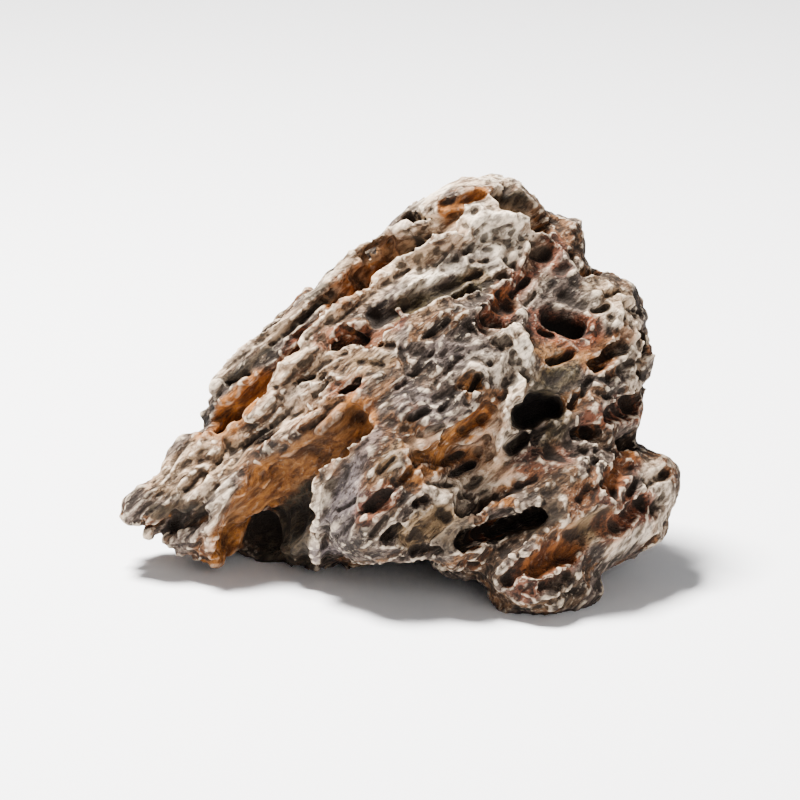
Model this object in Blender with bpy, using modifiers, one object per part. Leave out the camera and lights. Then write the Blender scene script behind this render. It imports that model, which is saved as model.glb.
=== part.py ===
"""Dragon stone: one piece of weathered clay rock for an aquascape, resting on its own underside.

The stone is laid out in the view that shows its furrowed face: X runs right, Z runs up the view and Y runs away
from the viewer. Lumps fused into one body give the outline. Ridges are then raised on it, and furrows and holes
are carved into it, at places given by where the viewer sees them. The sides that the viewer can't see get hollows
of the same kinds, strewn evenly. Last, the stone is tipped so that the view's up becomes the world's, and its
feet are worn flat where they touch the ground.
"""

import math
import random
from collections import namedtuple

import bmesh
import bpy
import numpy as np
from mathutils import Matrix, Vector, noise
from mathutils.bvhtree import BVHTree

MM = 0.001

# The view of the furrowed face: how steeply it looks down, and where its viewer is.
LOOK_DOWN = math.radians(18)
VIEWER = Vector((0.0, -1200.0, 65.0)) * MM

# The point of the ground under the stone's middle, once the stone is tipped and before it is set down there.
ORIGIN = Vector((0.1, 16.9, 13.8)) * MM
STANDING = Matrix.Translation(-ORIGIN) @ Matrix.Rotation(-LOOK_DOWN, 4, "X")
WEAR = 0.5 * MM  # how far above the ground a foot's underside is still worn flat

# The rock's layers run this way, up to the right and a little towards the viewer.
GRAIN = Vector((0.72, -0.25, 0.62)).normalized()

FUSE_VOXEL = 2.0 * MM
FUSE_SMOOTHING = 5
SKIN_VOXEL = 1.3 * MM
SKIN_SMOOTHING = 2
CARVED_SMOOTHING = 1
TRIANGLES = 9400
ROCK_COLOUR = (0.30, 0.22, 0.16, 1)

# A rounded mass of the body: its middle and half-sizes in millimetres, and its turn in the view in degrees.
Lump = namedtuple("Lump", "across up away along high deep turn")

LUMPS = (
    Lump(6, 66, 2, 62, 34, 36, 42),  # core, along the grain
    Lump(38, 62, 2, 31, 40, 36, 0),  # blunt right end
    Lump(44, 36, -8, 30, 24, 32, 0),  # lower right
    Lump(38, 16, -26, 15, 14, 18, 0),  # front foot
    Lump(49, 10.5, -22, 8, 6.5, 10, 35),  # its right side
    Lump(-4, 40, -20, 22, 23, 24, 0),  # lobe that overhangs the front
    Lump(16, 26, -20, 15, 12, 23, -20),  # ledge between the lobe and the foot
    Lump(12, 70, -16, 34, 23, 24, 42),  # middle face
    Lump(-20, 76, 12, 48, 19, 26, 43),  # shoulder under the crest
    Lump(-39, 72, 10, 25, 8, 12, 43),  # crest, lower part
    Lump(-13, 97, 11, 28, 8, 12, 43),  # crest, middle part
    Lump(8, 114, 8, 20, 10, 14, 38),  # crest, upper part
    Lump(-45, 37, 4, 25, 15, 20, 22),  # left end
    Lump(-57, 45, 2, 12, 10, 12, 30),  # its upper lump
    Lump(-69, 35, 2, 13, 6, 12, 14),  # left tip
    Lump(20, 112, 4, 22, 17, 22, 18),  # head
    Lump(33, 107, 2, 13, 13, 18, 0),  # brow of the head
    Lump(50, 84, 0, 22, 19, 24, -30),  # right shoulder
    Lump(61, 92, 0, 12, 10, 14, -48),  # its outer bulge
    Lump(65, 79, -2, 9, 9, 14, 0),  # bulge under that
    Lump(48.5, 112, 4, 5.5, 7, 8, 0),  # knob on the shoulder
    Lump(66, 38, -6, 16, 13, 18, 25),  # right knob
    Lump(64, 30, -8, 13, 10, 16, 15),  # its lower half
    Lump(2, 60, 28, 50, 30, 24, 35),  # back
    Lump(4, 44, 28, 48, 24, 26, 4),  # base behind the overhang
    Lump(-35, 28, 16, 17, 10, 16, 12),  # its left part, behind the recess
)

# A raised line: where it runs as the viewer sees it, its width and its height, in millimetres.
Ridge = namedtuple("Ridge", "line width height")

RIDGES = (
    Ridge(((-54, 67), (-45, 75), (-34, 84), (-21, 96), (-9, 108), (2, 116)), 5, 3.5),  # crest's blade
    Ridge(((-40, 60), (-32, 70), (-21, 82), (-10, 93), (2, 104), (12, 112), (24, 117.5), (36, 117)), 7, 4.5),  # strand
    Ridge(((-54, 21), (-53, 34), (-45, 45), (-33, 55), (-26, 61)), 7, 3),  # left bank of the trough
    Ridge(((-24, 17), (-24, 43), (-18, 49), (-11, 55)), 6, 4),  # edge of the lobe
    Ridge(((28, 87), (34, 83), (38, 76), (37, 70), (30, 60), (29, 53)), 8, 4),  # rim of the middle face
    Ridge(((17, 27), (23, 32), (32, 35), (40, 35)), 6, 3),  # brow over the slot
    Ridge(((12, 36), (20, 43.5), (28, 47)), 6, 2.5),  # edge of the slab over that
    Ridge(((42, 84), (49, 83), (56, 87)), 4.5, 2),  # rim under the upper hole
    Ridge(((37, 23), (44, 27.5), (52, 33)), 5, 2),  # rim between the slot and the red hollow
    Ridge(((59, 38), (63, 44), (68, 49)), 4.5, 2),  # rim of the right knob
)

# A broken face: a place on it, how far it reaches from there in millimetres, and the direction it faces.
Face = namedtuple("Face", "across up away reach facing")

FACES = (
    Face(-15, 37, -36, 20, (-0.72, -0.69, 0.05)),  # left face of the lobe
    Face(-23.5, 30, -26, 18, (-0.97, 0.25, 0.0)),  # its side over the recess
    Face(16, 73, -37.5, 18, (-0.15, -0.95, 0.27)),  # middle face
    Face(-60, 45, -9, 13, (-0.35, -0.8, 0.5)),  # left end
    Face(25, 107, -16, 12, (0.1, -0.93, 0.35)),  # brow of the head
    Face(40, 45, -35.5, 10, (-0.1, -0.93, 0.35)),  # lump under the big hole
)

# A furrow or a hole: where it runs as the viewer sees it, its width and its depth, in millimetres.
Hollow = namedtuple("Hollow", "line width depth")

HOLLOWS = (
    Hollow(((47, 94), (49, 76), (47, 60)), 26, 5),  # sunken right end, beyond the rim of the middle face
    Hollow(((-52, 58), (-34, 76), (-10, 100), (14, 120)), 8, 7),  # upper furrow, behind the pale strand
    Hollow(((-17, 92), (-4, 107)), 12, 9),  # its widest part
    Hollow(((-50, 60), (-40, 67)), 10, 6),  # its lower end
    Hollow(((-1, 110), (5, 114)), 6, 9),  # dark pit near its upper end
    Hollow(((1, 117.5), (10, 120)), 4, 5),  # slit over that
    Hollow(((12, 122), (23, 125)), 4, 3),  # slit on the head
    Hollow(((31, 124), (41, 116)), 8, 10),  # dark end behind the head
    Hollow(((-7, 90), (8, 97), (23, 103)), 8, 5),  # furrow below the strand
    Hollow(((4, 91), (20, 99)), 6, 8),  # its deep lower side
    Hollow(((-20, 80), (-2, 87)), 6, 4),  # red streak under that
    Hollow(((-20, 67), (-13, 70)), 5, 4),  # pock above the trough
    Hollow(((-47, 22), (-37, 40), (-14, 56.5)), 13, 9),  # broad ochre trough
    Hollow(((-41, 22), (-36, 28), (-28, 35)), 13, 13),  # dark recess under the trough
    Hollow(((40.5, 110), (43.5, 109.5)), 5.5, 6),  # red hole under the shoulder
    Hollow(((43, 108), (27, 88)), 8, 5),  # red furrow down from it
    Hollow(((26, 91), (33, 89)), 5, 7),  # its deep lower end
    Hollow(((43, 105), (48, 104)), 5, 4),  # pock in the knob
    Hollow(((50, 107), (53, 102), (58, 103)), 4, 5),  # notch between the knob and the shoulder
    Hollow(((48, 98), (54, 95)), 5, 6),  # hollow under the knob
    Hollow(((45, 90.5), (51.5, 89)), 8.5, 13),  # upper hole of the right end
    Hollow(((43, 80), (50, 79)), 7, 3.5),  # hollow under it
    Hollow(((45, 72), (50, 77)), 6, 5),  # hollow beside the rim
    Hollow(((58, 75), (65, 81)), 4.5, 7),  # steep furrow near the right edge
    Hollow(((35.5, 61.5), (45, 64)), 9, 18),  # big hole beside the middle face
    Hollow(((39, 54), (44, 57.5)), 3.5, 7),  # dark cleft under it
    Hollow(((32, 51), (35, 53)), 5, 8),  # small hole beside that
    Hollow(((61, 61), (67, 64)), 6, 4),  # red hollow at the right edge
    Hollow(((54, 55), (57, 55.5)), 4.5, 9),  # hole near the right edge
    Hollow(((64, 53.5), (67, 52.5)), 6, 9),  # notch in the right edge
    Hollow(((70, 74), (71, 68)), 4, 4),  # nick over that
    Hollow(((21, 25), (38, 30.5)), 6.5, 13),  # long slot low on the front
    Hollow(((19, 33.5), (22, 33.5)), 5.5, 6),  # hole above its left end
    Hollow(((40, 17.5), (48, 21.5)), 8, 6),  # red hollow over the foot
    Hollow(((50, 24), (60, 30)), 8, 4),  # its smooth upper end
    Hollow(((43, 11), (50, 14)), 5, 4),  # dent under it
    Hollow(((61, 41), (66, 47)), 6, 4),  # hollow on the right knob
    Hollow(((64, 29), (71, 35)), 6, 4),  # hollow under it
    Hollow(((72, 41), (77, 44)), 4, 3),  # dents beside them
    Hollow(((74, 33), (77, 37)), 4, 3),
    Hollow(((15, 54), (25, 61)), 8, 3),  # dish in the middle face
    Hollow(((10, 67), (22, 71)), 6, 2.5),  # dent over it
    Hollow(((5, 48), (20, 49)), 6, 2.5),  # wrinkle under it
    Hollow(((-8.5, 34), (-5, 37)), 6, 3.5),  # pock in the lobe
    Hollow(((-3.5, 25), (-0.5, 27.5)), 5, 5),  # pock at the lobe's foot
    Hollow(((4, 25), (12, 31)), 7, 3),  # smooth dish beside it
    Hollow(((5, 35.5), (7.5, 36)), 3.5, 3),  # pit over the dish
    Hollow(((18, 16), (24, 15)), 5, 4),  # dents under the slot
    Hollow(((30, 13), (35, 18)), 5, 4),
    Hollow(((-77, 29), (-66, 30), (-58, 32)), 8, 5),  # undercut of the left tip
)

# Hollows strewn over the sides that the viewer can't see: how many directions from the stone's middle are tried,
# their lengths and widths in millimetres, and how squarely a place may face the viewer and still get one.
Strewn = namedtuple("Strewn", "directions lengths widths facing seed")

STREWN = (
    Strewn(34, (10, 34), (13, 20), 0.0, 5),  # caves
    Strewn(130, (4, 26), (5, 10), 0.3, 7),  # pits and furrows
)
STREWN_DEPTHS = (0.5, 1.0)  # as shares of the width
STREWN_BEND = 0.25  # as a share of the length
MIDDLE = Vector((5.0, 0.0, 65.0)) * MM
OUTSIDE = 300.0 * MM  # further from the middle than any part of the stone

# Broken faces on the sides that the viewer can't see: how many directions from the stone's middle are tried, and
# how far they reach and how deep below the skin they are, in millimetres.
CHIP_DIRECTIONS = 20
CHIP_REACHES = (10, 17)
CHIP_DEPTHS = (1.5, 4.0)
CHIP_SEED = 9

UNDERSIDE = 7.0 * MM  # height above the ground up to which the skin keeps its feet whole

# Uneven swelling, drawn out along the grain: its height in millimetres, or as a share of a hollow's half-width,
# the size of its bumps in millimetres, and how many times longer they are along the grain.
Swell = namedtuple("Swell", "height size stretch seed")

SKIN_SWELLS = (Swell(3.0, 17, 3.0, 3.1), Swell(1.4, 8, 2.5, 11.9))
RIM_SWELLS = (Swell(0.35, 7, 1.5, 31.7), Swell(0.25, 3, 1.5, 5.3))

FACE_FADE = 0.2  # as a share of a broken face's reach
PATH_STEP = 2.0 * MM
NORMAL_REACH = 3  # steps of a path, each way, over which its normals are averaged
WALL_POWER = 2.5  # above 2, a hollow's walls are steeper than an ellipse's
FAR_SIDE = 1.5  # a point this many times deeper than a hollow is on the stone's far side, and is left alone
LIP_HEIGHT = 0.8 * MM
LIP_SHARE = 0.4  # width of a hollow's raised lip, as a share of half the hollow's width


def clear_scene():
    for obj in list(bpy.data.objects):
        bpy.data.objects.remove(obj, do_unlink=True)


def apply_modifiers(obj):
    """Bakes the object's modifiers into its mesh."""
    graph = bpy.context.evaluated_depsgraph_get()
    baked = bpy.data.meshes.new_from_object(obj.evaluated_get(graph))
    obj.modifiers.clear()
    old = obj.data
    obj.data = baked
    bpy.data.meshes.remove(old)


def remesh(obj, voxel, smoothing):
    """Fuses the object into one skin of even faces, then evens that skin out."""
    fuse = obj.modifiers.new("fuse", "REMESH")
    fuse.mode = "VOXEL"
    fuse.voxel_size = voxel
    smooth = obj.modifiers.new("smooth", "SMOOTH")
    smooth.factor = 0.5
    smooth.iterations = smoothing
    apply_modifiers(obj)


def add_lump(mesh, lump):
    """Adds one ellipsoid, turned in the view, to the bmesh."""
    middle = Vector((lump.across, lump.away, lump.up)) * MM
    half_sizes = Vector((lump.along, lump.deep, lump.high)) * MM
    turn = Matrix.Rotation(math.radians(-lump.turn), 4, "Y")
    matrix = Matrix.Translation(middle) @ turn @ Matrix.Diagonal(half_sizes).to_4x4()
    bmesh.ops.create_icosphere(mesh, subdivisions=4, radius=1.0, matrix=matrix)


def fused_lumps(collection):
    mesh = bmesh.new()
    for lump in LUMPS:
        add_lump(mesh, lump)
    data = bpy.data.meshes.new("stone")
    mesh.to_mesh(data)
    mesh.free()
    stone = bpy.data.objects.new("stone", data)
    collection.objects.link(stone)
    remesh(stone, FUSE_VOXEL, FUSE_SMOOTHING)
    return stone


def vertices_of(obj):
    points = np.empty(len(obj.data.vertices) * 3)
    obj.data.vertices.foreach_get("co", points)
    return points.reshape(-1, 3)


def normals_of(obj):
    normals = np.empty(len(obj.data.vertices) * 3)
    obj.data.vertex_normals.foreach_get("vector", normals)
    return normals.reshape(-1, 3)


def move_vertices(obj, points):
    obj.data.vertices.foreach_set("co", points.astype(np.float32).ravel())
    obj.data.update()


def swelling(points, swells):
    """The sum of the swells' heights at each point."""
    side = GRAIN.cross(Vector((0, 1, 0))).normalized()
    total = np.zeros(len(points))
    for swell in swells:
        axes = np.array([GRAIN / swell.stretch, side, GRAIN.cross(side)])
        places = points @ axes.T / (swell.size * MM) + swell.seed
        total += swell.height * np.array([noise.noise(place) for place in places.tolist()])
    return total


def steps_along(line):
    """Places along the line through these points, about PATH_STEP apart."""
    places = [line[0]]
    for start, end in zip(line, line[1:]):
        count = max(1, round((end - start).length / PATH_STEP))
        places += [start.lerp(end, i / count) for i in range(1, count + 1)]
    return places


def path_on_skin(tree, eye, line):
    """The points of the skin that the eye sees in the directions of the line, and the skin's normals there."""
    hits = []
    for place in steps_along(line):
        hit = tree.ray_cast(eye, (place - eye).normalized())
        if hit[0] is None:
            hit = tree.find_nearest(place)
        hits.append(hit)
    steps = np.arange(len(hits))
    near = np.abs(np.subtract.outer(steps, steps)) <= NORMAL_REACH
    normals = near @ np.array([hit[1] for hit in hits])
    normals /= np.linalg.norm(normals, axis=1)[:, None]
    return np.array([hit[0] for hit in hits]), normals


def seen_path(tree, line):
    return path_on_skin(tree, VIEWER, [Vector((across, 0, up)) * MM for across, up in line])


def beside(points, path, reach):
    """The indices of the points within reach of the path, each one's distance from it along the skin and above
    the skin, and the path's normal there."""
    spots, normals = path
    low = spots.min(axis=0) - reach
    high = spots.max(axis=0) + reach
    chosen = np.flatnonzero(((points > low) & (points < high)).all(axis=1))
    offsets = points[chosen, None] - spots
    nearest = (offsets**2).sum(axis=2).argmin(axis=1)
    offsets = offsets[np.arange(len(chosen)), nearest]
    outward = normals[nearest]
    above = (offsets * outward).sum(axis=1)
    aside = np.linalg.norm(offsets - above[:, None] * outward, axis=1)
    return chosen, aside, above, outward


def raise_ridge(points, path, width, height):
    chosen, aside, above, outward = beside(points, path, width)
    share = np.clip(1 - (2 * aside / width) ** 2, 0, None) ** 2
    rise = np.where(np.abs(above) < width, height * share, 0.0)
    points[chosen] += rise[:, None] * outward


def break_off(points, face):
    """Takes off what stands out of the face's plane, and less of it towards the end of its reach."""
    facing = np.array(Vector(face.facing).normalized())
    offsets = points - np.array((face.across, face.away, face.up)) * MM
    distance = np.linalg.norm(offsets, axis=1) / (face.reach * MM)
    rise = np.clip(offsets @ facing, 0, None) * np.clip((1 - distance) / FACE_FADE, 0, 1)
    points -= rise[:, None] * facing


def carve(points, path, width, depth):
    """Moves the points over a rounded trench down to its floor, and raises a lip round it."""
    chosen, aside, above, outward = beside(points, path, 2 * width)
    share = 2 * aside / width * (1 + swelling(points[chosen], RIM_SWELLS))
    floor = -depth * np.sqrt(np.clip(1 - share**WALL_POWER, 0, None))
    sinks = (share < 1) & (above > floor) & (above > -FAR_SIDE * depth)
    shift = np.where(sinks, floor - above, 0.0)
    lip = (share >= 1) & (share < 1 + LIP_SHARE) & (np.abs(above) < width)
    shift[lip] = LIP_HEIGHT * np.sin(math.pi * (share[lip] - 1) / LIP_SHARE)
    points[chosen] += shift[:, None] * outward


def is_seen(tree, place, normal, facing):
    """Whether the viewer sees that place of the skin, and at least as squarely as facing says."""
    to_viewer = (VIEWER - place).normalized()
    return normal.dot(to_viewer) > facing and tree.ray_cast(place + normal * MM, to_viewer)[0] is None


def outside_places(count, turned):
    """Evenly spread places far outside the stone, turned round it by that angle."""
    golden = math.pi * (3 - math.sqrt(5))
    for i in range(count):
        lift = 1 - 2 * (i + 0.5) / count
        turn = golden * i + turned
        spread = math.sqrt(1 - lift**2)
        yield MIDDLE + OUTSIDE * Vector((spread * math.cos(turn), spread * math.sin(turn), lift))


def chips(tree):
    """Broken faces for the sides that the viewer can't see."""
    chance = random.Random(CHIP_SEED)
    for eye in outside_places(CHIP_DIRECTIONS, CHIP_SEED):
        place, normal, _, _ = tree.ray_cast(eye, (MIDDLE - eye).normalized())
        reach = chance.uniform(*CHIP_REACHES)
        depth = chance.uniform(*CHIP_DEPTHS) * MM
        if not is_seen(tree, place, normal, 0.0):
            across, away, up = (place - depth * normal) / MM
            yield Face(across, up, away, reach, normal)


def strewn_hollows(tree, kind):
    """Hollows for the sides that the viewer can't see, each a path on the skin with a width and a depth."""
    chance = random.Random(kind.seed)
    for eye in outside_places(kind.directions, kind.seed):
        place, normal, _, _ = tree.ray_cast(eye, (MIDDLE - eye).normalized())
        length = chance.uniform(*kind.lengths) * MM
        width = chance.uniform(*kind.widths) * MM
        depth = chance.uniform(*STREWN_DEPTHS) * width
        bend = chance.uniform(-STREWN_BEND, STREWN_BEND) * length
        underneath = (STANDING @ place).z < UNDERSIDE
        if underneath or is_seen(tree, place, normal, kind.facing):
            continue
        along = GRAIN - GRAIN.dot(normal) * normal
        half = along * length / 2
        line = [place - half, place + normal.cross(along) * bend, place + half]
        yield path_on_skin(tree, eye, line), width, depth


def weather(stone):
    """Swells, ridges and hollows the fused lumps."""
    tree = BVHTree.FromObject(stone, bpy.context.evaluated_depsgraph_get())
    remesh(stone, SKIN_VOXEL, SKIN_SMOOTHING)
    points = vertices_of(stone)
    points += swelling(points, SKIN_SWELLS)[:, None] * MM * normals_of(stone)
    for face in (*FACES, *chips(tree)):
        break_off(points, face)
    for ridge in RIDGES:
        raise_ridge(points, seen_path(tree, ridge.line), ridge.width * MM, ridge.height * MM)
    for kind in STREWN:
        for path, width, depth in strewn_hollows(tree, kind):
            carve(points, path, width, depth)
    for hollow in HOLLOWS:
        carve(points, seen_path(tree, hollow.line), hollow.width * MM, hollow.depth * MM)
    move_vertices(stone, points)
    remesh(stone, SKIN_VOXEL, CARVED_SMOOTHING)


def drop_crumbs(stone):
    """Keeps the largest body, without the chips that the carving cut loose."""
    mesh = bmesh.new()
    mesh.from_mesh(stone.data)
    left = set(mesh.verts)
    bodies = []
    while left:
        body = {left.pop()}
        rim = list(body)
        while rim:
            vertex = rim.pop()
            found = {edge.other_vert(vertex) for edge in vertex.link_edges} & left
            left -= found
            body |= found
            rim += found
        bodies.append(body)
    bodies.sort(key=len)
    for crumb in bodies[:-1]:
        bmesh.ops.delete(mesh, geom=list(crumb), context="VERTS")
    mesh.to_mesh(stone.data)
    mesh.free()


def wear_feet(stone):
    """Flattens what is below the ground, and what is so little above it that wear has taken it."""
    points = vertices_of(stone)
    points[points[:, 2] < WEAR, 2] = 0
    move_vertices(stone, points)


def coarsen(stone):
    """Leaves only as many triangles as the lumps, ledges, pits and ridges need."""
    coarse = stone.modifiers.new("coarse", "DECIMATE")
    coarse.ratio = TRIANGLES / (2 * len(stone.data.polygons))
    coarse.use_collapse_triangulate = True
    apply_modifiers(stone)


def rock():
    material = bpy.data.materials.new("rock")
    material.use_nodes = True
    surface = material.node_tree.nodes["Principled BSDF"]
    surface.inputs["Base Color"].default_value = ROCK_COLOUR
    surface.inputs["Roughness"].default_value = 0.9
    return material


def dragon_stone():
    clear_scene()
    collection = bpy.data.collections.new("dragon_stone")
    bpy.context.scene.collection.children.link(collection)
    stone = fused_lumps(collection)
    weather(stone)
    drop_crumbs(stone)
    stone.data.transform(STANDING)
    wear_feet(stone)
    coarsen(stone)
    wear_feet(stone)
    stone.data.materials.append(rock())
    return stone


STONE = dragon_stone()
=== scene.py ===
"""Dragon stone: a furrowed piece of weathered clay rock on a pale floor.

The stone is made as the CAD's solid is, from the same lumps, ridges and hollows laid out in the view of its
furrowed face, but with a finer skin. That skin then gets what is too small for the solid: ledges, strands and
Stains painted on it say what colour the clay has, and where; painted shade darkens its recesses, cracks, undersides
and deep hollows.
"""

import math
import random
from collections import namedtuple

import bmesh
import bpy
import numpy as np
from mathutils import Matrix, Vector, noise
from mathutils.bvhtree import BVHTree


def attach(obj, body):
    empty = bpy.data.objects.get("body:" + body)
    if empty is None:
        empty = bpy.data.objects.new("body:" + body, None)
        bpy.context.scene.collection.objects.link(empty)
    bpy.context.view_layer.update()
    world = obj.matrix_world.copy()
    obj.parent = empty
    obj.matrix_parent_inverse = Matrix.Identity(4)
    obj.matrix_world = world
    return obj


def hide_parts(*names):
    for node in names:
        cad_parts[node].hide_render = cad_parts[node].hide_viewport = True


MM = 0.001

# The view of the furrowed face: how steeply it looks down, and where its viewer is.
LOOK_DOWN = math.radians(18)
VIEWER = Vector((0.0, -1200.0, 65.0)) * MM
SHOWN_WIDTH = 232.0 * MM  # what the picture spans at the stone

# The point of the ground under the stone's middle, once the stone is tipped and before it is set down there.
ORIGIN = Vector((0.1, 16.9, 13.8)) * MM
STANDING = Matrix.Translation(-ORIGIN) @ Matrix.Rotation(-LOOK_DOWN, 4, "X")
WEAR = 0.5 * MM  # how far above the ground a foot's underside is still worn flat

# The rock's layers run along the grain, up to the right and a little towards the viewer, and are stacked across it.
GRAIN = Vector((0.72, -0.25, 0.62)).normalized()
STACKED = GRAIN.cross(Vector((0, 1, 0))).normalized()

FUSE_VOXEL = 2.0 * MM
FUSE_SMOOTHING = 5
SKIN_VOXEL = 0.62 * MM
SKIN_SMOOTHING = 2
CARVED_SMOOTHING = 1
TRIANGLES = 194000

# A rounded mass of the body: its middle and half-sizes in millimetres, and its turn in the view in degrees.
Lump = namedtuple("Lump", "across up away along high deep turn")

LUMPS = (
    Lump(6, 66, 2, 62, 34, 36, 42),  # core, along the grain
    Lump(38, 62, 2, 31, 40, 36, 0),  # blunt right end
    Lump(44, 36, -8, 30, 24, 32, 0),  # lower right
    Lump(38, 16, -26, 15, 14, 18, 0),  # front foot
    Lump(49, 10.5, -22, 8, 6.5, 10, 35),  # its right side
    Lump(-4, 40, -20, 22, 23, 24, 0),  # lobe that overhangs the front
    Lump(16, 26, -20, 15, 12, 23, -20),  # ledge between the lobe and the foot
    Lump(12, 70, -16, 34, 23, 24, 42),  # middle face
    Lump(-20, 76, 12, 48, 19, 26, 43),  # shoulder under the crest
    Lump(-39, 72, 10, 25, 8, 12, 43),  # crest, lower part
    Lump(-13, 97, 11, 28, 8, 12, 43),  # crest, middle part
    Lump(8, 114, 8, 20, 10, 14, 38),  # crest, upper part
    Lump(-45, 37, 4, 25, 15, 20, 22),  # left end
    Lump(-57, 45, 2, 12, 10, 12, 30),  # its upper lump
    Lump(-69, 35, 2, 13, 6, 12, 14),  # left tip
    Lump(20, 112, 4, 22, 17, 22, 18),  # head
    Lump(33, 107, 2, 13, 13, 18, 0),  # brow of the head
    Lump(50, 84, 0, 22, 19, 24, -30),  # right shoulder
    Lump(61, 92, 0, 12, 10, 14, -48),  # its outer bulge
    Lump(65, 79, -2, 9, 9, 14, 0),  # bulge under that
    Lump(48.5, 112, 4, 5.5, 7, 8, 0),  # knob on the shoulder
    Lump(66, 38, -6, 16, 13, 18, 25),  # right knob
    Lump(64, 30, -8, 13, 10, 16, 15),  # its lower half
    Lump(2, 60, 28, 50, 30, 24, 35),  # back
    Lump(4, 44, 28, 48, 24, 26, 4),  # base behind the overhang
    Lump(-35, 28, 16, 17, 10, 16, 12),  # its left part, behind the recess
)

# Raised lines: where each runs as the viewer sees it, its width and its height, in millimetres.
RIDGES = (
    (((-54, 67), (-45, 75), (-34, 84), (-21, 96), (-9, 108), (2, 116)), 5, 3.5),  # crest's blade
    (((-40, 60), (-32, 70), (-21, 82), (-10, 93), (2, 104), (12, 112), (24, 117.5), (36, 117)), 7, 4.5),  # strand
    (((-54, 21), (-53, 34), (-45, 45), (-33, 55), (-26, 61)), 7, 3),  # left bank of the trough
    (((-24, 17), (-24, 43), (-18, 49), (-11, 55)), 6, 4),  # edge of the lobe
    (((28, 87), (34, 83), (38, 76), (37, 70), (30, 60), (29, 53)), 8, 4),  # rim of the middle face
    (((17, 27), (23, 32), (32, 35), (40, 35)), 6, 3),  # brow over the slot
    (((12, 36), (20, 43.5), (28, 47)), 6, 2.5),  # edge of the slab over that
    (((42, 84), (49, 83), (56, 87)), 4.5, 2),  # rim under the upper hole
    (((37, 23), (44, 27.5), (52, 33)), 5, 2),  # rim between the slot and the red hollow
    (((59, 38), (63, 44), (68, 49)), 4.5, 2),  # rim of the right knob
)

# A broken face: a place on it, how far it reaches from there in millimetres, and the direction it faces.
Face = namedtuple("Face", "across up away reach facing")

FACES = (
    Face(-15, 37, -36, 20, (-0.72, -0.69, 0.05)),  # left face of the lobe
    Face(-23.5, 30, -26, 18, (-0.97, 0.25, 0.0)),  # its side over the recess
    Face(16, 73, -37.5, 18, (-0.15, -0.95, 0.27)),  # middle face
    Face(-60, 45, -9, 13, (-0.35, -0.8, 0.5)),  # left end
    Face(25, 107, -16, 12, (0.1, -0.93, 0.35)),  # brow of the head
    Face(40, 45, -35.5, 10, (-0.1, -0.93, 0.35)),  # lump under the big hole
)

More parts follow.
